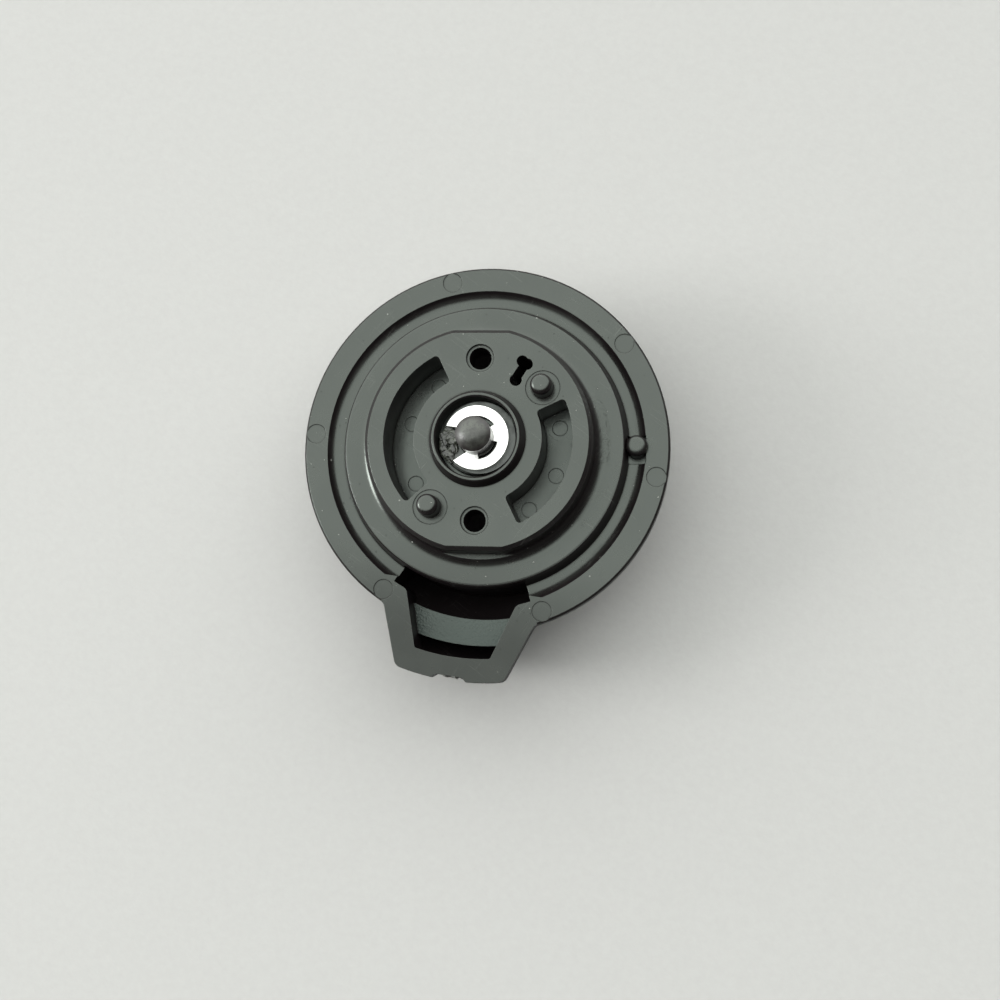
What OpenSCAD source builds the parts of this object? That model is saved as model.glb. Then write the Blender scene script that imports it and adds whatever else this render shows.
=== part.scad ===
// Bobbin case for a horizontal hook: flanged cup, spindle turning in the hub, leaf tension spring.
// The spindle's axis is Z, and the hub points up. Z = 0 is the face that the bobbin sits on.
// The stop tab points along -Y. All sizes are in millimetres.

/* [Flange and cup] */
// Radius of the flange that rides in the hook's race
flange_r = 18.5; // [18.2:0.05:18.8]
// Thickness of the flange
flange_t = 1.5; // [1.2:0.1:1.8]
// Outside radius of the cup under the flange
cup_r = 13.8; // [13.6:0.05:13.9]
// Inside radius of the cup, which takes a bobbin of 20.5 mm diameter
cup_bore_r = 12; // [11.8:0.05:12.1]
// Depth from the bobbin's seat to the cup's mouth
cup_depth = 10.4; // [9.8:0.1:11.2]

/* [Hub] */
// Radius of the hub's flat top, inside its chamfer
hub_r = 10.85; // [10.7:0.05:10.9]
// Height of the hub's top over the flange's face
hub_rise = 5.25; // [5:0.05:5.5]
// Distance from the axis to each of the hub's two flats
hub_flat = 10.85; // [10.75:0.05:10.95]
// Turn of the hub's holes and flats from the tab's axis
hub_turn = 7; // [5:0.5:10]
// Height of the shoulder over the flange's face
shoulder_rise = 1.25; // [1:0.05:1.4]

/* [Spindle] */
// Radius of the spindle pin
pin_r = 1.75; // [1.7:0.01:1.78]
// Radius of the post that the bobbin slides over
post_r = 2.95; // [2.8:0.05:3]
// Radius of the turntable under the bobbin
table_r = 7; // [6.8:0.1:7.4]

/* [Tab] */
// Radius of the tab's outer end
tab_r = 23.45; // [23.2:0.05:23.7]
// Distance from the axis to the tab's slanted sides
tab_side = 12.95; // [12.8:0.05:13.1]
// Slant of the tab's sides
tab_slant = 20; // [19:0.5:21]

/* [Tension spring] */
// Height of the leaf
leaf_h = 4; // [3.6:0.1:4.4]
// Thickness of the leaf
leaf_t = 0.25; // [0.2:0.01:0.3]

/* [Hidden] */
$fn = 96;
over = 0.5;               // how far a cutter runs past the face that it opens

// Levels above the bobbin's seat
table_t = 0.6;
floor_z = table_t + 0.05;                 // floor of the cup
pocket_z = floor_z + 1.2;                 // floor of the hub's two arc pockets
face_z = pocket_z - 0.25;                 // top face of the flange
flange_z = face_z - flange_t;
shoulder_z = face_z + shoulder_rise;
hub_z = face_z + hub_rise;
seat_z = hub_z - 0.2;                     // seat of the thrust washer inside the boss
washer_t = 0.35;
clip_t = 0.6;
clip_z = seat_z + washer_t;
boss_z = clip_z + clip_t + 0.65;
mouth_z = -cup_depth;

// Groove in the flange beside the shoulder: steep inside, flat floor, rounded outside
shoulder_r = 14.1;
groove_deep = 0.65;
groove_in = 14.45;
gap_in = 14.25;
groove_mid = 15.05;
groove_round = 1.2;
groove_out = groove_mid + sqrt(pow(groove_round, 2) - pow(groove_round - groove_deep, 2));

// Hub: chamfer at its top, hollow fillet at its foot, and how far the flats stop over the shoulder
hub_chamfer = 0.35;
hub_fillet = 1.2;
flat_foot = 0.5;

// Boss around the spindle, with the recess that holds the clip
boss_base_r = 4.75;
boss_top_r = 4.4;
recess_r = 3.95;
seat_r = 3.5;
moat_deep = 0.9;
hub_bore_r = pin_r + 0.05;

// Arc pockets: radii, corner radius, and each one's start and end angle from the hub's flats
pocket_in = 6.3;
pocket_out = 9.3;
pocket_corner = 0.4;
pocket_spans = [[117, 223], [297, 386]];

// Blind holes and pegs on the hub
hole_r = 1.1;
hole_mouth_r = 1.4;
hole_step = 0.3;
hole_at = 8;
hole_deep = 3.6;
peg_r = 1.05;
peg_h = 2.2;
peg_at = 8.05;
peg_angles = [39.2, 237];
peg_round = 0.55;

// Round marks that ejector pins leave, and the sleeve marks around the pegs
mark_deep = 0.08;
flange_marks = [45, 110, 183, 243, 298, 358];
flange_mark_r = 1;
flange_mark_at = 17.4;
pocket_marks = [15, 128.5, 163, 209, 307, 339];
pocket_mark_r = 0.78;
floor_marks = [30, 150, 270];
floor_mark_r = 1.25;
floor_mark_at = 9.5;
sleeve_r = 1.7;

// Post that stands in the groove, in a pit that is longer on its clockwise side
stop_angle = 8;
stop_at = 15.2;
stop_pit = [1.65, 1.15];
stop_pit_deep = 1.1;

// Stop tab: window, deep trench at the cup's wall, bar, deep slot, and the block that they are cut in
window_r = 21.1;
window_side = 9.85;
window_slant = 17.4;
gap_half = 25.5;
bar_in = 17.05;
bar_out = 19.7;
bar_z = face_z - 3;
trench_z = -6;
slope_rise = 3.2;
block_z = trench_z - 1;
block_wall = 0.9;
notch_half = 1.3;
notch_deep = 0.45;

// Spindle
groove_r = 1.15;
head_r = 1.72;
head_z = clip_z + clip_t + 2.15;
head_dome = 0.75;
post_tip_z = -8.8;

// Wave washer, in a recess of the cup's floor, with a lug in the hub's slot
wave_in = 4.2;
wave_out = 6.2;
wave_t = 0.15;
wave_amp = 0.19;
wave_count = 3;
wave_steps = 72;
wave_recess = 0.5;
slot_angle = 58.5;
lug_w = 0.8;
lug_h = 1;

// Tension spring on the cup's outer wall, and where its screws, tongue and notch lie
leaf_z = -5.6;
leaf_from = 308;
fixing_angle = 316;
tension_angle = 337;
regulator_to = 349;
tongue = [353, 377];
notch_angle = 383;
leaf_to = 389;
tongue_h = 2.4;
leaf_seat = 0.3;
screw_r = 0.97;
insert_bore_r = 1;
insert_r = 1.5;
fixing_gap = 0.05;
tension_gap = 0.15;
fixing_head_r = 1.4;
tension_head_r = 1.75;
screw_head_h = 0.9;
slot_w = 0.45;
thread_slot_w = 0.8;
thread_slot_angle = 379;
leaf_r = cup_r - leaf_seat;               // the leaf's inner face lies on its seat
leaf_out_r = leaf_r + leaf_t;
regulator_out_r = leaf_out_r + leaf_t;

// ---- shapes that several pieces share ----

// A slice of a ring about Z, from radius r1 to r2, height z1 to z2 and angle a1 to a2
module ring(r1, r2, z1, z2, a1 = 0, a2 = 360) {
  rotate([0, 0, a1])
    rotate_extrude(angle = a2 - a1)
      translate([r1, z1])
        square([r2 - r1, z2 - z1]);
}

// Puts its children at a radius and an angle about Z
module polar(r, a) {
  rotate([0, 0, a]) translate([r, 0, 0]) children();
}

// Puts its children on a radial axis at an angle and a height: their +Z points away from Z
module radial(a, z) {
  rotate([0, 0, a]) translate([0, 0, z]) rotate([0, 90, 0]) children();
}

// Points along an arc about a centre, from angle a1 to a2
function arc(centre, r, a1, a2, steps) =
  [for (i = [0:steps]) let (a = a1 + (a2 - a1) * i / steps) centre + r * [cos(a), sin(a)]];

// Plan of a slice of a ring from radius r1 to r2 and angle a1 to a2, with corners rounded by c
module round_slice(r1, r2, a1, a2, c) {
  turn_in = asin(c / (r1 + c));
  turn_out = asin(c / (r2 - c));
  at_in = [for (a = [a1 + turn_in, a2 - turn_in]) (r1 + c) * [cos(a), sin(a)]];
  at_out = [for (a = [a1 + turn_out, a2 - turn_out]) (r2 - c) * [cos(a), sin(a)]];
  steps = ceil((a2 - a1) / 2.5);
  polygon(concat(
    arc(at_out[0], c, a1 - 90, a1 + turn_out, 6),
    arc([0, 0], r2, a1 + turn_out + 1, a2 - turn_out - 1, steps),
    arc(at_out[1], c, a2 - turn_out, a2 + 90, 6),
    arc(at_in[1], c, a2 + 90, a2 - turn_in + 180, 6),
    arc([0, 0], r1, a2 - turn_in - 1, a1 + turn_in + 1, steps),
    arc(at_in[0], c, a1 + turn_in + 180, a1 + 270, 6)));
}

// A peg with a rounded tip, standing on its own z = 0
module peg(r, h, tip) {
  rotate_extrude() {
    square([r - tip, h]);
    square([r, h - tip]);
    translate([r - tip, h - tip])
      intersection() {
        circle(r = tip, $fn = 48);
        square(tip);
      }
  }
}

// Plan of a wedge along -Y: its slanted sides lie at a distance from the axis, its end lies on
// a circle about the axis, and its outer corners are rounded by c
module wedge_plan(side, slant, end_r, c) {
  n = [cos(slant), -sin(slant)];
  t = [-sin(slant), -cos(slant)];
  root_y = 14;
  centre = (side - c) * n + sqrt(pow(end_r - c, 2) - pow(side - c, 2)) * t;
  on_side = centre + c * n;
  on_end = centre * end_r / (end_r - c);
  root = side * n + t * (root_y - side * sin(slant)) / cos(slant);
  polygon([root, on_side, centre, [-centre[0], centre[1]],
           [-on_side[0], on_side[1]], [-root[0], root[1]]]);
  for (s = [-1, 1])
    translate([s * centre[0], centre[1]]) circle(r = c, $fn = 48);
  intersection() {
    circle(r = end_r, $fn = 180);
    polygon([[0, 0], on_end * 1.2, [-on_end[0], on_end[1]] * 1.2]);
  }
}

// Hollow fillets of radius c between a circle about the axis and the slanted sides of a wedge
module root_plan(side, slant, rim_r, c) {
  n = [cos(slant), -sin(slant)];
  t = [-sin(slant), -cos(slant)];
  centre = (side + c) * n + sqrt(pow(rim_r + c, 2) - pow(side + c, 2)) * t;
  on_rim = centre * (rim_r - 0.1) / (rim_r + c);
  for (s = [-1, 1])
    scale([s, 1])
      difference() {
        polygon([on_rim, centre, centre - (c + 0.1) * n, 0.95 * on_rim]);
        translate(centre) circle(r = c, $fn = 64);
      }
}

// ---- the case ----

// Half section of the case, without the bore, pockets and tab
module case_section() {
  difference() {
    polygon([
      [0, mouth_z], [cup_r - 0.2, mouth_z], [cup_r, mouth_z + 0.2], [cup_r, flange_z],
      [flange_r - 0.15, flange_z], [flange_r, flange_z + 0.15],
      [flange_r, face_z - 0.2], [flange_r - 0.2, face_z],
      [groove_mid, face_z], [groove_mid, face_z - groove_deep], [groove_in, face_z - groove_deep],
      [shoulder_r, shoulder_z - 0.3], [shoulder_r - 0.04, shoulder_z - 0.15],
      [shoulder_r - 0.15, shoulder_z - 0.04], [shoulder_r - 0.3, shoulder_z],
      [hub_r + hub_chamfer + hub_fillet, shoulder_z],
      [hub_r + hub_chamfer, shoulder_z + hub_fillet],
      [hub_r + hub_chamfer, hub_z - hub_chamfer], [hub_r, hub_z],
      [boss_base_r, hub_z], [boss_top_r, boss_z - 0.15], [boss_top_r - 0.12, boss_z],
      [recess_r + 0.12, boss_z], [recess_r, boss_z - 0.15], [recess_r, seat_z - moat_deep],
      [seat_r, seat_z - moat_deep], [seat_r, seat_z], [0, seat_z]
    ]);
    translate([hub_r + hub_chamfer + hub_fillet, shoulder_z + hub_fillet])
      circle(r = hub_fillet, $fn = 64);
    intersection() {
      translate([groove_mid, face_z - groove_deep + groove_round])
        circle(r = groove_round, $fn = 64);
      translate([groove_mid - over, face_z - groove_deep]) square([groove_round + over, 2]);
    }
  }
}

// Side cuts that leave the hub with two flats, each with the same chamfer as its rim
module hub_flats() {
  for (side = [0, 180])
    rotate([0, 0, hub_turn + side]) {
      translate([-hub_r, hub_flat, shoulder_z + flat_foot]) cube([2 * hub_r, 3, hub_z]);
      translate([0, hub_flat, hub_z - hub_chamfer])
        rotate([45, 0, 0]) translate([-hub_r, 0, -1]) cube([2 * hub_r, 3, 3]);
    }
}

// Slot through the hub with a wide outer end, for the wave washer's lug
module hub_slot() {
  slot_in = 6.85;
  slot_out = 8.75;
  slot_low = floor_z - over;
  rotate([0, 0, hub_turn + slot_angle])
    translate([0, 0, slot_low])
      linear_extrude(height = hub_z + over - slot_low) {
        translate([slot_in, 0]) circle(r = 0.6, $fn = 32);
        translate([slot_out, 0.48]) circle(r = 0.56, $fn = 32);
        translate([slot_out, -0.1]) circle(r = 0.56, $fn = 32);
        translate([slot_in, -0.38]) square([slot_out - slot_in, 0.92]);
        translate([slot_out - 0.5, -0.1]) square([1, 0.58]);
      }
}

module hub_cuts() {
  hub_flats();
  hub_slot();
  rotate([0, 0, hub_turn]) {
    for (span = pocket_spans)
      translate([0, 0, pocket_z])
        linear_extrude(height = hub_rise)
          round_slice(pocket_in, pocket_out, span[0], span[1], pocket_corner);
    for (a = pocket_marks)
      polar((pocket_in + pocket_out) / 2, a)
        translate([0, 0, pocket_z - mark_deep]) cylinder(r = pocket_mark_r, h = 1, $fn = 48);
    for (a = [90, 270])
      polar(hole_at, a) {
        translate([0, 0, hub_z - hole_deep]) cylinder(r = hole_r, h = hole_deep + over);
        translate([0, 0, hub_z - hole_deep - hole_r]) cylinder(r1 = 0.02, r2 = hole_r, h = hole_r);
        translate([0, 0, hub_z - hole_step]) cylinder(r = hole_mouth_r, h = hole_step + over);
      }
    for (a = peg_angles)
      polar(peg_at, a)
        translate([0, 0, hub_z - mark_deep]) cylinder(r = sleeve_r, h = over, $fn = 64);
  }
}

// Plan of the window through the tab, together with the gap in the groove
module window_plan() {
  difference() {
    union() {
      wedge_plan(window_side, window_slant, window_r, 0.3);
      root_plan(window_side, window_slant, groove_out, 0.8);
      intersection() {
        circle(r = groove_out, $fn = 180);
        polygon([[0, 0], 30 * [-sin(gap_half), -cos(gap_half)], 30 * [sin(gap_half), -cos(gap_half)]]);
      }
    }
    circle(r = gap_in, $fn = 180);
  }
}

// Plan of the window, slightly larger, so that what stands in it joins its walls
module bar_plan() {
  wedge_plan(window_side + 0.1, window_slant, window_r + 0.1, 0.3);
  intersection() {
    circle(r = groove_out + 0.1, $fn = 180);
    polygon([[0, 0], 30 * [-sin(gap_half + 1), -cos(gap_half + 1)],
             30 * [sin(gap_half + 1), -cos(gap_half + 1)]]);
  }
}

module tab_cuts() {
  translate([0, 0, trench_z]) linear_extrude(height = shoulder_z - trench_z) window_plan();
}

// Bar that stands in the window between the trench and the outer slot, and the sloping floors of
// those two, which rise away from the cup
module bar() {
  low = trench_z - 0.1;
  intersection() {
    rotate([0, 0, 270 - gap_half - 10])
      rotate_extrude(angle = 2 * gap_half + 20, $fn = 180)
        polygon([[gap_in - 0.1, low], [window_r + 0.3, low], [window_r + 0.3, trench_z + slope_rise],
                 [bar_out, trench_z + 0.6], [bar_out, bar_z], [bar_in, bar_z],
                 [bar_in, trench_z + slope_rise], [gap_in - 0.1, trench_z - 0.05]]);
    translate([0, 0, low - 1]) linear_extrude(height = face_z - low + 1) bar_plan();
  }
}

module flange_cuts() {
  for (a = flange_marks)
    polar(flange_mark_at, a)
      translate([0, 0, face_z - mark_deep]) cylinder(r = flange_mark_r, h = over, $fn = 48);
  rotate([0, 0, stop_angle])
    translate([gap_in, -stop_pit[0], face_z - stop_pit_deep])
      cube([groove_out - gap_in, stop_pit[0] + stop_pit[1], 2]);
}

module cup_cuts() {
  translate([0, 0, mouth_z - over]) cylinder(r = cup_bore_r, h = floor_z - mouth_z + over);
  // lead-in at the mouth
  translate([0, 0, mouth_z - 0.01]) cylinder(r1 = cup_bore_r + 0.4, r2 = cup_bore_r, h = 0.4);
  translate([0, 0, floor_z - over]) cylinder(r = hub_bore_r, h = seat_z);
  ring(wave_in - 0.3, wave_out + 0.3, floor_z - over, floor_z + wave_recess);
  for (a = floor_marks)
    polar(floor_mark_at, a)
      translate([0, 0, floor_z - over]) cylinder(r = floor_mark_r, h = over + mark_deep, $fn = 48);
  for (a = [fixing_angle, tension_angle])
    radial(a, leaf_z) translate([0, 0, cup_bore_r - 1]) cylinder(r = insert_r, h = 4);
  // shallow seat for the leaf, and the slot that leads the thread in under it
  ring(leaf_r, cup_r + 1, leaf_z - leaf_h / 2 - 0.3, leaf_z + leaf_h / 2 + 0.3,
       leaf_from - 1.5, leaf_to + 6);
  rotate([0, 0, thread_slot_angle])
    translate([cup_bore_r - 1, -thread_slot_w / 2, mouth_z - over])
      cube([4, thread_slot_w, leaf_z - mouth_z + over]);
}

// Tab plate with its end notch, and the block under it
module tab() {
  translate([0, 0, flange_z]) linear_extrude(height = flange_t)
    difference() {
      union() {
        wedge_plan(tab_side, tab_slant, tab_r, 1);
        root_plan(tab_side, tab_slant, flange_r, 0.8);
      }
      polygon([[-notch_half - 1, -tab_r - 0.3], [-notch_half, -tab_r + notch_deep],
               [notch_half, -tab_r + notch_deep], [notch_half + 1, -tab_r - 0.3]]);
    }
  block_half = gap_half + 4;
  translate([0, 0, block_z]) linear_extrude(height = flange_z - block_z + 0.1)
    difference() {
      union() {
        wedge_plan(window_side + block_wall, window_slant, window_r + block_wall, 1);
        intersection() {
          circle(r = groove_out + block_wall, $fn = 180);
          polygon([[0, 0], 30 * [-sin(block_half), -cos(block_half)],
                   30 * [sin(block_half), -cos(block_half)]]);
        }
      }
      circle(r = cup_r - 0.2, $fn = 180);
    }
}

module case_body() color([0.05, 0.055, 0.055]) {
  difference() {
    union() {
      rotate_extrude($fn = 180) case_section();
      tab();
    }
    hub_cuts();
    flange_cuts();
    tab_cuts();
    cup_cuts();
  }
  bar();
  rotate([0, 0, hub_turn])
    for (a = peg_angles)
      polar(peg_at, a) translate([0, 0, hub_z - 0.2]) peg(peg_r, peg_h + 0.2, peg_round);
  polar(stop_at, stop_angle)
    translate([0, 0, flange_z + 0.1]) peg(peg_r, shoulder_z - flange_z - 0.1, peg_round);
}

// ---- the spindle ----

// Steel pin with a domed head, a groove for the clip and a shank pressed into the post
module spindle_pin() color([0.16, 0.17, 0.17]) {
  shank_z = post_tip_z + 2;
  dome_r = (head_r * head_r + head_dome * head_dome) / (2 * head_dome);
  rotate_extrude() {
    polygon([[0, shank_z], [pin_r, shank_z], [pin_r, clip_z], [groove_r, clip_z],
             [groove_r, clip_z + clip_t], [head_r, clip_z + clip_t], [head_r, head_z],
             [0, head_z]]);
    intersection() {
      translate([0, head_z + head_dome - dome_r]) circle(r = dome_r, $fn = 128);
      translate([0, head_z - 0.01]) square([head_r, 2 * head_dome]);
    }
  }
}

// Moulded post with the turntable that carries the bobbin on six pads
module bobbin_post() color([0.08, 0.085, 0.09]) {
  pad_gap = 0.7;
  pad_deep = 0.15;
  difference() {
    rotate_extrude()
      polygon([[0, post_tip_z], [post_r - 0.5, post_tip_z], [post_r, post_tip_z + 0.8],
               [post_r, 0], [table_r - 0.2, 0], [table_r, 0.2], [table_r, table_t], [0, table_t]]);
    translate([0, 0, post_tip_z + 2]) cylinder(r = pin_r, h = 20);
    for (a = [0:60:300])
      rotate([0, 0, a])
        translate([post_r + 0.8, -pad_gap / 2, -over]) cube([table_r, pad_gap, over + pad_deep]);
  }
}

// Retaining clip in the pin's groove, with three prongs and an open side
module e_clip() color([0.9, 0.9, 0.88]) {
  outer_r = 3.15;
  relief_r = 2.15;
  open_angle = 200;
  translate([0, 0, clip_z]) rotate([0, 0, open_angle - 180])
    linear_extrude(height = clip_t)
      difference() {
        circle(r = outer_r, $fn = 128);
        circle(r = groove_r, $fn = 64);
        for (s = [-1, 1])
          scale([1, s])
            intersection() {
              circle(r = relief_r, $fn = 96);
              polygon([[0, 0], 4 * [cos(24), sin(24)], [4, 4], [0, 4], 4 * [cos(95), sin(95)]]);
            }
        polygon([[-0.2, -0.9], [-1.25, -1.22], [-3.5, -2.1],
                 [-3.5, 2.1], [-1.25, 1.22], [-0.2, 0.9]]);
      }
}

// Plain washer under the clip, lying a little off centre as loose washers do
module thrust_washer() color([0.4, 0.41, 0.42]) {
  inner_r = pin_r + 0.3;
  outer_r = 3.55;
  shift = 0.25;
  rotate([0, 0, 25]) translate([shift, 0, seat_z])
    difference() {
      cylinder(r = outer_r, h = washer_t);
      translate([0, 0, -over]) cylinder(r = inner_r, h = washer_t + 2 * over);
    }
}

// Height of the wave washer's wave at an angle
function wave(a) = wave_amp * cos(wave_count * (a - hub_turn - slot_angle));

// Wave washer that drags on the turntable, with one lug that stops it turning
module wave_washer() color([0.7, 0.7, 0.7]) {
  base_z = table_t + 0.01 + wave_amp;
  corners = [[wave_in, 0], [wave_out, 0], [wave_out, wave_t], [wave_in, wave_t]];
  points = [for (i = [0:wave_steps - 1], c = corners)
            let (a = 360 * i / wave_steps)
            [c[0] * cos(a), c[0] * sin(a), base_z + wave(a) + c[1]]];
  faces = [for (i = [0:wave_steps - 1], k = [0:3])
           let (j = (i + 1) % wave_steps, m = (k + 1) % 4)
           [4 * i + k, 4 * i + m, 4 * j + m, 4 * j + k]];
  polyhedron(points = points, faces = faces, convexity = 4);
  rotate([0, 0, hub_turn + slot_angle]) {
    translate([wave_out - 0.3, -lug_w / 2, base_z + wave_amp]) cube([1.05, lug_w, wave_t]);
    translate([wave_out + 0.6, -lug_w / 2, base_z + wave_amp]) cube([wave_t, lug_w, lug_h]);
  }
}

// ---- the thread tension ----

// Hole on a radial axis through a leaf
module leaf_hole(a, r) {
  radial(a, leaf_z) translate([0, 0, cup_r - 2]) cylinder(r = r, h = 5, $fn = 48);
}

// Long leaf that presses the thread on the cup, with a narrow tongue and a notch near its end
module tension_spring() color([0.75, 0.75, 0.73]) {
  difference() {
    ring(leaf_r, leaf_out_r, leaf_z - leaf_h / 2, leaf_z + leaf_h / 2, leaf_from, leaf_to);
    leaf_hole(fixing_angle, 1.08);
    leaf_hole(tension_angle, 1.25);
    for (z = [leaf_z + tongue_h / 2, leaf_z - tongue_h / 2 - leaf_h])
      ring(leaf_r - 1, leaf_out_r + 1, z, z + leaf_h, tongue[0], tongue[1]);
    radial(notch_angle, leaf_z - leaf_h / 2)
      translate([0, 0, cup_r - 2]) cylinder(r = 0.6, h = 5, $fn = 32);
  }
}

// Short stiff leaf on top, which spreads the screws' force
module regulator_leaf() color([0.62, 0.62, 0.6]) {
  difference() {
    ring(leaf_out_r, regulator_out_r, leaf_z - leaf_h / 2 + 0.3, leaf_z + leaf_h / 2 - 0.3,
         leaf_from, regulator_to);
    leaf_hole(fixing_angle, 1.08);
    leaf_hole(tension_angle, 1.25);
  }
}

// Slotted cheese-head screw on a radial axis, with a gap under its head
module case_screw(a, head_r, gap) {
  tip = cup_bore_r + 0.25;
  head_seat = regulator_out_r + gap;
  edge = 0.15;
  radial(a, leaf_z)
    difference() {
      union() {
        translate([0, 0, tip]) cylinder(r = screw_r, h = head_seat - tip + 0.1);
        translate([0, 0, head_seat]) cylinder(r = head_r, h = screw_head_h - edge);
        translate([0, 0, head_seat + screw_head_h - edge])
          cylinder(r1 = head_r, r2 = head_r - edge, h = edge);
      }
      translate([-slot_w / 2, -head_r - 1, head_seat + screw_head_h / 2])
        cube([slot_w, 2 * head_r + 2, 1]);
    }
}

module tension_screw() color([0.8, 0.8, 0.78]) {
  case_screw(tension_angle, tension_head_r, tension_gap);
}

module fixing_screw() color([0.8, 0.8, 0.78]) {
  case_screw(fixing_angle, fixing_head_r, fixing_gap);
}

// Brass insert in the cup's wall, in which a screw turns
module screw_insert(a) {
  radial(a, leaf_z)
    difference() {
      translate([0, 0, cup_bore_r + 0.1]) cylinder(r = insert_r, h = leaf_r - cup_bore_r - 0.22);
      translate([0, 0, cup_bore_r - 1]) cylinder(r = insert_bore_r, h = 4);
    }
}

module tension_insert() color([0.75, 0.6, 0.3]) screw_insert(tension_angle);

module fixing_insert() color([0.75, 0.6, 0.3]) screw_insert(fixing_angle);

case_body();
spindle_pin();
bobbin_post();
e_clip();
thrust_washer();
wave_washer();
tension_spring();
regulator_leaf();
tension_screw();
fixing_screw();
tension_insert();
fixing_insert();
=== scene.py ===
"""Looks of a bobbin case that lies on its mouth, hub up: materials, grease, floor, light and camera.

Lengths are in metres, in the CAD model's frame. MM turns the millimetres below into metres.
"""
import math

import bmesh
import bpy
from mathutils import Matrix, Vector, noise


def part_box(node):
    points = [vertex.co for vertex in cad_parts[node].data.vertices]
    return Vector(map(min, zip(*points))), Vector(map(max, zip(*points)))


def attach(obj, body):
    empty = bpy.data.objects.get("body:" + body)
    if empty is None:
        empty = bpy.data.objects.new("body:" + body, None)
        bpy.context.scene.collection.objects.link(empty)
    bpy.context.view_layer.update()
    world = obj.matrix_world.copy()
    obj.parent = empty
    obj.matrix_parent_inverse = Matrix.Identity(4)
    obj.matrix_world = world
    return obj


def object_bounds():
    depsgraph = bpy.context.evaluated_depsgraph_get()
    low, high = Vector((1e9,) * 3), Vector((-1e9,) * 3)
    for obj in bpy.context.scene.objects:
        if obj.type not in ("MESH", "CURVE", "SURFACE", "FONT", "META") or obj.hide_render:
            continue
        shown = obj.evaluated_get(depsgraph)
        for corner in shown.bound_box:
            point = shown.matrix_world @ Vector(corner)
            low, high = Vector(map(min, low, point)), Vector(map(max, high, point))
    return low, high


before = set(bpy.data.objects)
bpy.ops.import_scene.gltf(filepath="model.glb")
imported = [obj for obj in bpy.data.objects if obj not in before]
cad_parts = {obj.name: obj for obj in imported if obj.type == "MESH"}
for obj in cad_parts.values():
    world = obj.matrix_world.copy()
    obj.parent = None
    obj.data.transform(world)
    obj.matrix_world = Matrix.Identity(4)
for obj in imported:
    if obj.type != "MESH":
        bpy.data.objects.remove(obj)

MM = 0.001
cad_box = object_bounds()

# places on the case, in millimetres along Y or Z
TAB_END = -20.0
HUB_FOOT = -9.0
BAR_START = (-16.4, -16.0)
BAR_TOP = (-1.5, -1.3)

TAB_SHADED_GLOSS = 0.52      # painted shade: the tab's gloss at its end as a share of the hub's
WALL_TILT = (0.60, 0.95)      # a face whose normal's height is below these counts as a wall


# ---- camera ----

def add_camera():
    """Looks down on the hub from the right of the tab, almost along the spindle's axis."""
    place = Vector((27.11, -23.90, 163.0)) * MM
    target = Vector((2.35, -5.01, 1.6)) * MM
    roll = math.radians(9)
    back = (place - target).normalized()
    up_hint = Vector((-math.sin(roll), math.cos(roll), 0))
    right = up_hint.cross(back).normalized()
    up = back.cross(right)
    data = bpy.data.cameras.new("camera")
    data.sensor_width = 36
    data.lens = 59.4
    data.clip_start = 0.01
    camera = bpy.data.objects.new("camera", data)
    rows = [[right[i], up[i], back[i], place[i]] for i in range(3)]
    camera.matrix_world = Matrix(rows + [[0, 0, 0, 1]])
    bpy.context.scene.collection.objects.link(camera)
    bpy.context.scene.camera = camera
    bpy.context.scene.view_settings.view_transform = "Standard"


# ---- node helpers ----

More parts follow.
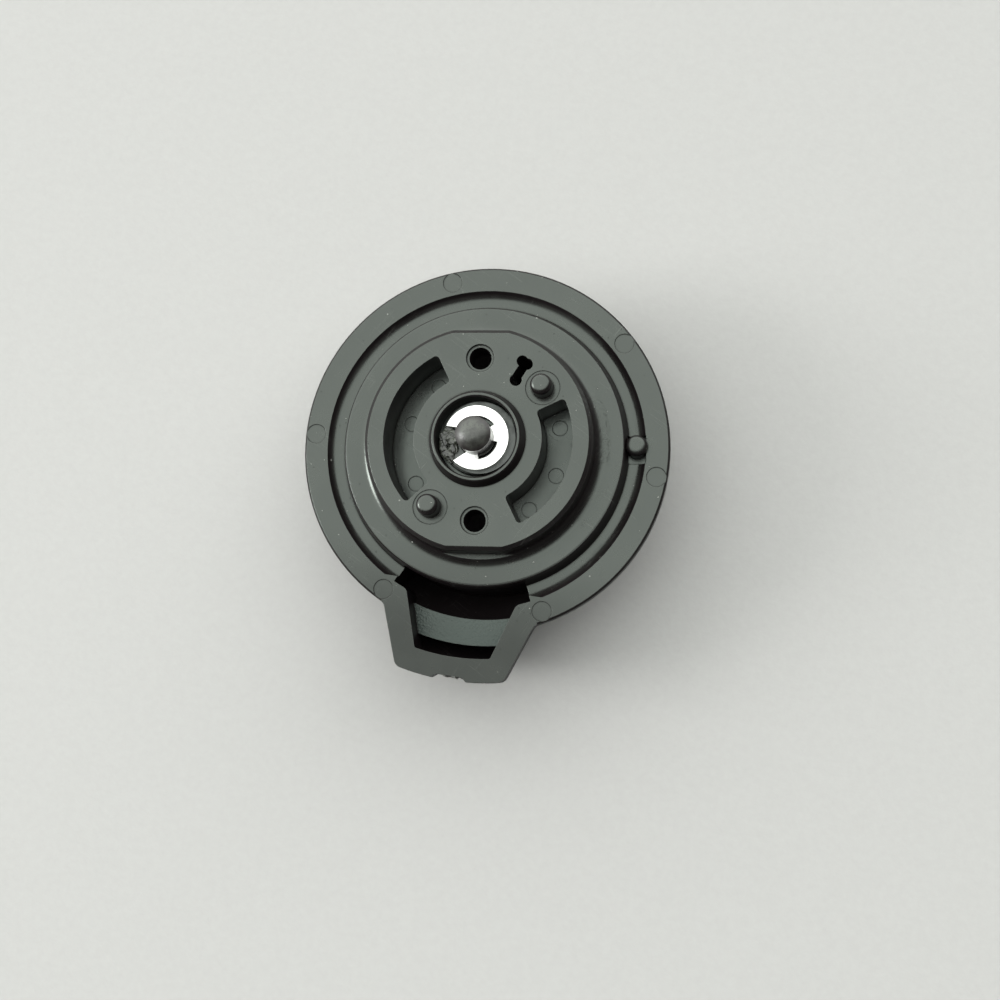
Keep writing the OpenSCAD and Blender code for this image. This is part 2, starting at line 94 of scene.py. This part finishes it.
class Nodes:
    """Adds shader nodes to a material, with one short call for each kind."""

    def __init__(self, tree):
        self.tree = tree

    def add(self, kind, **settings):
        node = self.tree.nodes.new(kind)
        for key, value in settings.items():
            setattr(node, key, value)
        return node

    def put(self, value, socket):
        """Sets a socket to a number or colour, or links another socket to it."""
        if isinstance(value, bpy.types.NodeSocket):
            self.tree.links.new(value, socket)
        else:
            socket.default_value = value

    def math(self, operation, a, b=0.0, c=0.0, clamp=False):
        node = self.add("ShaderNodeMath", operation=operation, use_clamp=clamp)
        for value, socket in zip((a, b, c), node.inputs):
            self.put(value, socket)
        return node.outputs[0]

    def ramp(self, value, low, high, to_low=0.0, to_high=1.0):
        """Smooth step of value from low..high to to_low..to_high."""
        node = self.add("ShaderNodeMapRange", interpolation_type="SMOOTHSTEP")
        for item, socket in zip((value, low, high, to_low, to_high), node.inputs):
            self.put(item, socket)
        return node.outputs[0]

    def mix(self, factor, a, b):
        node = self.add("ShaderNodeMix", data_type="RGBA")
        self.put(factor, node.inputs[0])
        self.put(a, node.inputs[6])
        self.put(b, node.inputs[7])
        return node.outputs[2]

    def place(self, scale=(1, 1, 1), turn=(0, 0, 0)):
        """Object coordinates in millimetres, turned and then scaled."""
        source = self.add("ShaderNodeTexCoord").outputs["Object"]
        turned = self.add("ShaderNodeMapping", vector_type="POINT")
        self.put(source, turned.inputs[0])
        turned.inputs["Rotation"].default_value = turn
        turned.inputs["Scale"].default_value = (1 / MM, 1 / MM, 1 / MM)
        scaled = self.add("ShaderNodeMapping", vector_type="POINT")
        self.put(turned.outputs[0], scaled.inputs[0])
        scaled.inputs["Scale"].default_value = scale
        return scaled.outputs[0]

    def along(self, axis):
        """The object coordinate along one axis, in millimetres."""
        split = self.add("ShaderNodeSeparateXYZ")
        self.put(self.place(), split.inputs[0])
        return split.outputs[axis]

    def noise(self, where, scale, detail=2.0, rough=0.5, distortion=0.0):
        node = self.add("ShaderNodeTexNoise")
        self.put(where, node.inputs["Vector"])
        node.inputs["Scale"].default_value = scale
        node.inputs["Detail"].default_value = detail
        node.inputs["Roughness"].default_value = rough
        node.inputs["Distortion"].default_value = distortion
        return node.outputs[0]

    def cells(self, where, scale):
        """Voronoi cells: the distance to the cell's point and the cell's random colour."""
        node = self.add("ShaderNodeTexVoronoi")
        self.put(where, node.inputs["Vector"])
        node.inputs["Scale"].default_value = scale
        return node.outputs["Distance"], node.outputs["Color"]

    def bump(self, height, depth, after=None):
        """Bump of a height map whose full range is depth millimetres."""
        node = self.add("ShaderNodeBump")
        self.put(height, node.inputs["Height"])
        node.inputs["Strength"].default_value = 1.0
        node.inputs["Distance"].default_value = depth * MM
        if after is not None:
            self.put(after, node.inputs["Normal"])
        return node.outputs[0]


def new_material(name):
    """An empty material with its output, its Principled shader and a Nodes helper."""
    material = bpy.data.materials.new(name)
    material.use_nodes = True
    tree = material.node_tree
    tree.nodes.clear()
    nodes = Nodes(tree)
    shader = nodes.add("ShaderNodeBsdfPrincipled")
    output = nodes.add("ShaderNodeOutputMaterial")
    tree.links.new(shader.outputs[0], output.inputs["Surface"])
    return material, nodes, shader


def scratches(nodes, turn, length, width, share):
    """Hairline scratches along one direction: 1 on a scratch and 0 beside it."""
    where = nodes.place(scale=(1 / length, 1 / width, 1 / length), turn=(0, 0, turn))
    lines = nodes.noise(where, 1.0, detail=1.0, distortion=0.4)
    thin = nodes.ramp(lines, share, share + 0.03)
    patches = nodes.noise(nodes.place(), 0.35, detail=1.0)
    return nodes.math("MULTIPLY", thin, nodes.ramp(patches, 0.5, 0.62), clamp=True)


def specks(nodes, scale, size, share):
    """Dust specks: 1 on a speck. share is how many of the cells hold one."""
    distance, colour = nodes.cells(nodes.place(), scale)
    split = nodes.add("ShaderNodeSeparateColor")
    nodes.put(colour, split.inputs[0])
    chosen = nodes.math("LESS_THAN", split.outputs[0], share)
    near = nodes.ramp(distance, size * 0.6, size, 1.0, 0.0)
    return nodes.math("MULTIPLY", chosen, near, clamp=True)


def soft_edges(nodes, radius):
    """Normals rounded over edges of a radius in millimetres, and a mask that is 1 on those edges."""
    rounded = nodes.add("ShaderNodeBevel", samples=4)
    rounded.inputs["Radius"].default_value = radius * MM
    true_normal = nodes.add("ShaderNodeNewGeometry").outputs["Normal"]
    dot = nodes.add("ShaderNodeVectorMath", operation="DOT_PRODUCT")
    nodes.put(rounded.outputs[0], dot.inputs[0])
    nodes.put(true_normal, dot.inputs[1])
    return rounded.outputs[0], nodes.ramp(dot.outputs["Value"], 0.75, 0.995, 1.0, 0.0)


def painted_crevice_shade(nodes, reach):
    """1 in grooves and inner corners narrower than reach millimetres, from ambient occlusion: a mask for
    painted shade.
    """
    shade = nodes.add("ShaderNodeAmbientOcclusion", samples=6)
    shade.inputs["Distance"].default_value = reach * MM
    return nodes.ramp(shade.outputs["AO"], 0.55, 0.95, 1.0, 0.0)


def band(nodes, value, low, high, soft):
    """1 where value lies between low and high, falling to 0 over soft on either side."""
    rise = nodes.ramp(value, low - soft, low)
    fall = nodes.ramp(value, high, high + soft, 1.0, 0.0)
    return nodes.math("MULTIPLY", rise, fall)


def scuffed_foot(nodes):
    """1 on the part of the hub's foot, on the +X side, that the tool left rough."""
    flat = nodes.add("ShaderNodeVectorMath", operation="LENGTH")
    nodes.put(nodes.place(scale=(1, 1, 0)), flat.inputs[0])
    ring = band(nodes, flat.outputs["Value"], 11.4, 12.6, 0.5)
    side = band(nodes, nodes.along("Y"), 0.5, 6.0, 1.5)
    outer = nodes.ramp(nodes.along("X"), 8, 10)
    return nodes.math("MULTIPLY", nodes.math("MULTIPLY", ring, side), outer)


def wall_mask(nodes):
    """1 on upright walls, 0 on faces that look up or down."""
    split = nodes.add("ShaderNodeSeparateXYZ")
    nodes.put(nodes.add("ShaderNodeTexCoord").outputs["Normal"], split.inputs[0])
    return nodes.ramp(nodes.math("ABSOLUTE", split.outputs["Z"]), *WALL_TILT, 1.0, 0.0)


def tab_painted_shade(nodes):
    """1 over the hub, sinking towards the tab's end: painted shade that dims the tab's sheen as the
    light falls off.
    """
    return nodes.ramp(nodes.along("Y"), TAB_END, HUB_FOOT, TAB_SHADED_GLOSS, 1.0)


def bar_mask(nodes):
    """1 on the top of the bar that stands in the tab's window."""
    level = band(nodes, nodes.along("Z"), *BAR_TOP, 0.05)
    level = nodes.math("MULTIPLY", level, nodes.math("SUBTRACT", 1.0, wall_mask(nodes)))
    return nodes.math("MULTIPLY", level, nodes.ramp(nodes.along("Y"), *BAR_START, 1.0, 0.0))


# ---- materials ----

def moulded_plastic(name, tone=1.0, rough=0.20, edge_lightening=1.0):
    """Black moulded plastic: satin skin, flow mottle, hairlines, dust, and edges painted lighter as
    rubbed wear and painted highlight.
    """
    material, nodes, shader = new_material(name)
    where = nodes.place()
    mottle = nodes.noise(where, 0.22, detail=3.0)
    skin = nodes.noise(where, 2.2, detail=2.0)
    grain = nodes.noise(where, 9.0, detail=2.0)
    lines = nodes.math("MAXIMUM", scratches(nodes, 0.5, 9.0, 0.05, 0.69),
                       scratches(nodes, 2.1, 7.0, 0.04, 0.70), clamp=True)
    dust = nodes.math("MAXIMUM", specks(nodes, 0.9, 0.09, 0.14),
                      specks(nodes, 2.3, 0.15, 0.05), clamp=True)
    pits = specks(nodes, 1.7, 0.13, 0.10)
    chatter = nodes.noise(where, 3.2, detail=2.0, distortion=1.5)
    chatter = nodes.math("MULTIPLY", chatter, scuffed_foot(nodes))
    stipple = nodes.math("MULTIPLY", nodes.noise(where, 4.5, detail=3.0), bar_mask(nodes))
    # painted shade in grooves and inner corners, from ambient occlusion
    crevice_shade = painted_crevice_shade(nodes, 0.25)
    rounded, edges = soft_edges(nodes, 0.09)
    # edges painted lighter: rubbed wear and a painted highlight
    edge_wear_and_highlight = nodes.math("MULTIPLY", edges, edge_lightening * 0.55)

    dark = (0.0075 * tone, 0.0062 * tone, 0.0062 * tone, 1)
    light = (0.0130 * tone, 0.0122 * tone, 0.0115 * tone, 1)
    # lighter colour for rubbed wear on scratches and edges, and for the painted highlight on edges
    rubbed_and_highlit = (0.115, 0.118, 0.108, 1)
    dusty = (0.24, 0.24, 0.22, 1)
    bare = (0.028, 0.036, 0.033, 1)
    # colour of the painted shade in grooves and inner corners
    crevice_shade_colour = (0.0060, 0.0042, 0.0042, 1)
    # colour for upright walls: painted shade with a painted reddish reflection
    painted_wall_shade = (0.0080 * tone, 0.0061 * tone, 0.0065 * tone, 1)
    colour = nodes.mix(nodes.ramp(mottle, 0.3, 0.7), dark, light)
    walls = wall_mask(nodes)
    # upright walls painted darker and reddish: painted shade and a painted reflection
    colour = nodes.mix(walls, colour, painted_wall_shade)
    colour = nodes.mix(bar_mask(nodes), colour, bare)
    # edges painted lighter: rubbed wear and a painted highlight
    colour = nodes.mix(edge_wear_and_highlight, colour, rubbed_and_highlit)
    colour = nodes.mix(nodes.math("MULTIPLY", lines, 0.35), colour, rubbed_and_highlit)
    # painted shade: grooves and inner corners darkened
    colour = nodes.mix(crevice_shade, colour, crevice_shade_colour)
    colour = nodes.mix(nodes.math("MULTIPLY", dust, 0.8), colour, dusty)
    nodes.put(colour, shader.inputs["Base Color"])

    roughness = nodes.ramp(mottle, 0.3, 0.7, rough - 0.05, rough + 0.06)
    roughness = nodes.math("MULTIPLY_ADD", grain, 0.06, roughness)
    roughness = nodes.math("MULTIPLY_ADD", dust, 0.4, roughness, clamp=True)
    roughness = nodes.math("MULTIPLY_ADD", walls, 0.16, roughness, clamp=True)
    nodes.put(roughness, shader.inputs["Roughness"])
    # painted shade: the sheen dims towards the tab's end, and upright walls reflect less
    gloss = nodes.math("MULTIPLY", nodes.ramp(walls, 0.0, 1.0, 0.5, 0.11), tab_painted_shade(nodes))
    # painted shade: less sheen in grooves and inner corners
    gloss = nodes.math("MULTIPLY", gloss, nodes.ramp(crevice_shade, 0.0, 1.0, 1.0, 0.2))
    nodes.put(gloss, shader.inputs["Specular IOR Level"])
    shader.inputs["IOR"].default_value = 1.60
    shader.inputs["Specular Tint"].default_value = (0.90, 1.0, 0.91, 1)

    normal = nodes.bump(skin, 0.0045, after=rounded)
    normal = nodes.bump(grain, 0.0013, after=normal)
    normal = nodes.bump(lines, -0.003, after=normal)
    normal = nodes.bump(dust, 0.02, after=normal)
    normal = nodes.bump(pits, -0.03, after=normal)
    normal = nodes.bump(chatter, 0.05, after=normal)
    normal = nodes.bump(stipple, 0.06, after=normal)
    nodes.put(normal, shader.inputs["Normal"])
    return material


def worked_metal(name, colour, rough, brushed=0.0):
    """Metal with a fine grain, faint stains and softened edges. brushed makes the grain directional."""
    material, nodes, shader = new_material(name)
    stain = tuple(c * 0.7 for c in colour)
    where = nodes.place()
    clouds = nodes.noise(where, 0.9, detail=3.0)
    grain = nodes.noise(where, 12.0, detail=2.0)
    across = nodes.noise(nodes.place(scale=(1, 1, 24)), 1.4, detail=2.0)
    hair = nodes.noise(nodes.place(scale=(0.2, 14, 1), turn=(0, 0, 0.6)), 1.0, detail=1.0)
    spots = nodes.ramp(clouds, 0.52, 0.75)
    nodes.put(nodes.mix(spots, (*colour, 1), (*stain, 1)), shader.inputs["Base Color"])
    shader.inputs["Metallic"].default_value = 1.0
    roughness = nodes.ramp(clouds, 0.25, 0.75, rough - 0.06, rough + 0.08)
    roughness = nodes.math("MULTIPLY_ADD", hair, 0.08, roughness)
    nodes.put(roughness, shader.inputs["Roughness"])
    rounded, _ = soft_edges(nodes, 0.05)
    normal = nodes.bump(grain, 0.0012, after=rounded)
    normal = nodes.bump(across, 0.0015 * brushed + 0.0002, after=normal)
    nodes.put(normal, shader.inputs["Normal"])
    return material


def oiled_steel(name):
    """Blackened steel under a mottled film of grease."""
    material, nodes, shader = new_material(name)
    where = nodes.place()
    film = nodes.noise(where, 1.1, detail=4.0, rough=0.6)
    grain = nodes.noise(where, 7.0, detail=3.0, rough=0.65)
    smeared = nodes.mix(nodes.ramp(film, 0.35, 0.65), (0.020, 0.020, 0.017, 1), (0.052, 0.056, 0.046, 1))
    smeared = nodes.mix(nodes.ramp(grain, 0.56, 0.66), smeared, (0.012, 0.009, 0.009, 1))
    # the stud's upright sides painted dark and reddish: painted shade with a painted reddish reflection
    base = nodes.mix(wall_mask(nodes), smeared, (0.016, 0.011, 0.012, 1))
    nodes.put(base, shader.inputs["Base Color"])
    shader.inputs["Metallic"].default_value = 0.15
    nodes.put(nodes.ramp(film, 0.3, 0.7, 0.30, 0.52), shader.inputs["Roughness"])
    shader.inputs["Coat Weight"].default_value = 0.25
    shader.inputs["Coat Roughness"].default_value = 0.28
    normal = nodes.bump(film, 0.05)
    normal = nodes.bump(grain, 0.012, after=normal)
    nodes.put(normal, shader.inputs["Normal"])
    return material


def used_grease(name):
    """Grey-green grease with dark grit and a wet shine."""
    material, nodes, shader = new_material(name)
    where = nodes.place()
    clouds = nodes.noise(where, 2.2, detail=4.0, rough=0.6)
    grit = nodes.noise(where, 6.5, detail=3.0)
    thin, thick = (0.018, 0.020, 0.016, 1), (0.065, 0.070, 0.056, 1)
    colour = nodes.mix(nodes.ramp(clouds, 0.35, 0.65), thin, thick)
    colour = nodes.mix(nodes.ramp(grit, 0.52, 0.62), colour, (0.006, 0.005, 0.005, 1))
    nodes.put(colour, shader.inputs["Base Color"])
    nodes.put(nodes.ramp(clouds, 0.3, 0.7, 0.16, 0.34), shader.inputs["Roughness"])
    normal = nodes.bump(clouds, 0.03)
    nodes.put(nodes.bump(grit, 0.012, after=normal), shader.inputs["Normal"])
    return material


def torn_plastic(name):
    """Black plastic whitened where it was torn off the runner."""
    material, nodes, shader = new_material(name)
    stress = nodes.noise(nodes.place(scale=(1, 2, 2)), 2.4, detail=4.0, rough=0.6)
    fibre = nodes.noise(nodes.place(scale=(8, 1, 1)), 2.0, detail=2.0)
    whitened = nodes.ramp(stress, 0.50, 0.66)
    black, white = (0.020, 0.018, 0.018, 1), (0.38, 0.39, 0.36, 1)
    nodes.put(nodes.mix(whitened, black, white), shader.inputs["Base Color"])
    nodes.put(nodes.ramp(stress, 0.3, 0.7, 0.35, 0.7), shader.inputs["Roughness"])
    nodes.put(nodes.bump(fibre, 0.04), shader.inputs["Normal"])
    return material


def set_material(name, material):
    """Gives a CAD node one material in each of its slots."""
    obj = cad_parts[name]
    for slot in obj.material_slots:
        slot.link = "OBJECT"
        slot.material = material


def dress_cad_nodes():
    looks = {
        "case_body": moulded_plastic("case_plastic"),
        "bobbin_post": moulded_plastic("post_plastic", tone=1.5, rough=0.34, edge_lightening=0.6),
        "spindle_pin": oiled_steel("oiled_steel"),
        "e_clip": worked_metal("bright_steel", (0.86, 0.86, 0.83), 0.30),
        "thrust_washer": worked_metal("grey_steel", (0.085, 0.09, 0.085), 0.46),
        "wave_washer": worked_metal("washer_steel", (0.62, 0.62, 0.60), 0.30, brushed=1.0),
        "tension_spring": worked_metal("spring_steel", (0.66, 0.66, 0.64), 0.26, brushed=1.0),
        "regulator_leaf": worked_metal("leaf_steel", (0.58, 0.58, 0.56), 0.32, brushed=1.5),
        "tension_screw": worked_metal("nickel", (0.76, 0.74, 0.70), 0.22),
        "fixing_screw": worked_metal("nickel_dull", (0.70, 0.68, 0.65), 0.30),
        "tension_insert": worked_metal("brass_tension", (0.74, 0.56, 0.26), 0.32, brushed=1.0),
        "fixing_insert": worked_metal("brass_fixing", (0.72, 0.54, 0.25), 0.36, brushed=1.0),
    }
    for name, material in looks.items():
        set_material(name, material)


# ---- small pieces that only the looks have ----

def new_piece(name, mesh, material, body):
    """A smooth-shaded piece that rides on a body and takes its finish from a slot."""
    piece = bpy.data.objects.new(name, mesh)
    bpy.context.scene.collection.objects.link(piece)
    mesh.materials.append(material)
    mesh.shade_smooth()
    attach(piece, body)


def grown_together(shape, voxel):
    """Remeshes overlapping closed shapes into one skin and returns it as a mesh."""
    rough = bpy.data.meshes.new("rough")
    shape.to_mesh(rough)
    shape.free()
    carrier = bpy.data.objects.new("carrier", rough)
    bpy.context.scene.collection.objects.link(carrier)
    remesh = carrier.modifiers.new("grow", "REMESH")
    remesh.mode = "VOXEL"
    remesh.voxel_size = voxel * MM
    graph = bpy.context.evaluated_depsgraph_get()
    mesh = bpy.data.meshes.new_from_object(carrier.evaluated_get(graph))
    bpy.data.objects.remove(carrier)
    return mesh


def add_grease():
    """Grease in the clip's opening: flat lumps grown together, with a pitted top."""
    washer_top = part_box("thrust_washer")[1].z / MM
    wall = 3.82
    # angle in degrees, distance from the axis, height over the washer, radius, flatness
    lumps = [(170, 2.90, 0.08, 0.50, 0.30), (179, 2.35, 0.16, 0.50, 0.34), (186, 3.15, 0.10, 0.60, 0.28),
             (197, 2.35, 0.18, 0.52, 0.40), (203, 3.15, 0.10, 0.66, 0.26), (211, 2.50, 0.14, 0.56, 0.34),
             (219, 3.15, 0.08, 0.56, 0.28), (194, 1.95, 0.30, 0.34, 0.70), (186, 2.70, 0.12, 0.60, 0.30),
             (213, 3.50, 0.06, 0.40, 0.34), (198, 2.80, 0.06, 0.95, 0.18), (228, 3.30, 0.04, 0.36, 0.24)]
    shape = bmesh.new()
    for angle, reach, height, radius, flatness in lumps:
        turn = Matrix.Rotation(math.radians(angle), 4, "Z")
        move = Matrix.Translation(Vector((reach, 0, washer_top + height)) * MM)
        size = Matrix.Diagonal((radius * MM, radius * MM, radius * flatness * MM, 1))
        bmesh.ops.create_icosphere(shape, subdivisions=3, radius=1, matrix=turn @ move @ size)
    mesh = grown_together(shape, 0.05)
    for vert in mesh.vertices:
        spot = vert.co / MM
        ripple = noise.fractal(spot * 1.6, 1.0, 2.1, 2) * 0.10
        ripple -= max(0.0, 0.10 - abs(noise.noise(spot * 1.3 + Vector((4, 1, 7))))) * 1.0
        spot = spot + vert.normal * ripple
        spot.z = max(spot.z, washer_top + 0.01)
        reach = math.hypot(spot.x, spot.y)
        if reach > wall:
            spot.x *= wall / reach
            spot.y *= wall / reach
        vert.co = spot * MM
    new_piece("grease", mesh, used_grease("grease"), "spindle")


def add_gate_stub():
    """Torn stub of the moulding gate in the notch at the tab's end."""
    low, high = (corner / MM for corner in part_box("case_body"))
    notch_depth = 0.45
    notch_floor = low.y + notch_depth
    middle = Vector((0.35, notch_floor + 0.06, 0.70))
    steps, sides, half_length = 60, 16, 1.15
    shape = bmesh.new()
    rings = []
    for i in range(steps + 1):
        along = 2 * i / steps - 1
        taper = math.sqrt(max(0.0, 1 - along ** 4)) + 0.02
        ring = []
        for k in range(sides):
            around = 2 * math.pi * k / sides
            seed = Vector((along * 2.1, 0.6 * math.cos(around), 0.6 * math.sin(around)))
            torn = 1 + 0.70 * noise.noise(seed * 1.3) + 0.22 * noise.noise(seed * 3.7)
            spot = middle + Vector((along * half_length,
                                    0.26 * taper * torn * math.sin(around),
                                    0.50 * taper * torn * math.cos(around)))
            ring.append(shape.verts.new(spot * MM))
        rings.append(ring)
    for first, second in zip(rings, rings[1:]):
        for k in range(sides):
            n = (k + 1) % sides
            shape.faces.new((first[k], first[n], second[n], second[k]))
    shape.faces.new(list(reversed(rings[0])))
    shape.faces.new(rings[-1])
    bmesh.ops.recalc_face_normals(shape, faces=shape.faces)
    mesh = bpy.data.meshes.new("gate_stub")
    shape.to_mesh(mesh)
    shape.free()
    new_piece("gate_stub", mesh, torn_plastic("torn_plastic"), "case")


# ---- floor and light ----

def add_floor():
    """A pale floor that the cup's mouth rests on."""
    half = 4.0
    mesh = bpy.data.meshes.new("floor")
    shape = bmesh.new()
    bmesh.ops.create_grid(shape, x_segments=8, y_segments=8, size=half)
    for vert in shape.verts:
        vert.co.z = cad_box[0][2]
    shape.to_mesh(mesh)
    shape.free()
    floor = bpy.data.objects.new("floor", mesh)
    bpy.context.scene.collection.objects.link(floor)
    material, nodes, shader = new_material("floor_paper")
    fibres = nodes.noise(nodes.place(), 1.5, detail=4.0)
    tone = nodes.mix(fibres, (0.315, 0.31, 0.30, 1), (0.345, 0.34, 0.33, 1))
    nodes.put(tone, shader.inputs["Base Color"])
    shader.inputs["Roughness"].default_value = 0.85
    nodes.put(nodes.bump(fibres, 0.02), shader.inputs["Normal"])
    mesh.materials.append(material)


def add_sky():
    """Soft light from above and behind the hub, falling off to near dark on the tab's side.

    What the camera sees past the floor is plain pale grey.
    """
    world = bpy.data.worlds.new("studio")
    bpy.context.scene.world = world
    world.use_nodes = True
    tree = world.node_tree
    tree.nodes.clear()
    nodes = Nodes(tree)
    direction = nodes.add("ShaderNodeTexCoord").outputs["Generated"]
    towards = nodes.add("ShaderNodeVectorMath", operation="DOT_PRODUCT")
    nodes.put(direction, towards.inputs[0])
    towards.inputs[1].default_value = Vector((-0.35, 0.75, 0.55)).normalized()
    darkest, brightest, backdrop = 0.04, 2.9, 0.62
    glow = nodes.ramp(towards.outputs["Value"], 0.02, 0.46, darkest, brightest)
    seen = nodes.add("ShaderNodeLightPath").outputs["Is Camera Ray"]
    strength = nodes.math("MULTIPLY_ADD", nodes.math("SUBTRACT", backdrop, glow), seen, glow)
    background = nodes.add("ShaderNodeBackground")
    background.inputs["Color"].default_value = (0.97, 1.0, 0.98, 1)
    nodes.put(strength, background.inputs["Strength"])
    output = nodes.add("ShaderNodeOutputWorld")
    tree.links.new(background.outputs[0], output.inputs["Surface"])


def add_lamp(name, towards, distance, size, radiance):
    """A square soft light seen from the origin in a direction, aimed at the origin."""
    data = bpy.data.lights.new(name, "AREA")
    data.shape = "SQUARE"
    data.size = size
    data.energy = radiance * math.pi * size * size
    lamp = bpy.data.objects.new(name, data)
    way = Vector(towards).normalized()
    lamp.location = way * distance
    lamp.rotation_euler = way.to_track_quat("Z", "Y").to_euler()
    lamp.visible_camera = False
    bpy.context.scene.collection.objects.link(lamp)


add_camera()
dress_cad_nodes()
add_grease()
add_gate_stub()
add_floor()
add_sky()
add_lamp("window", towards=(-0.88, -0.16, 0.46), distance=0.8, size=0.28, radiance=15.0)
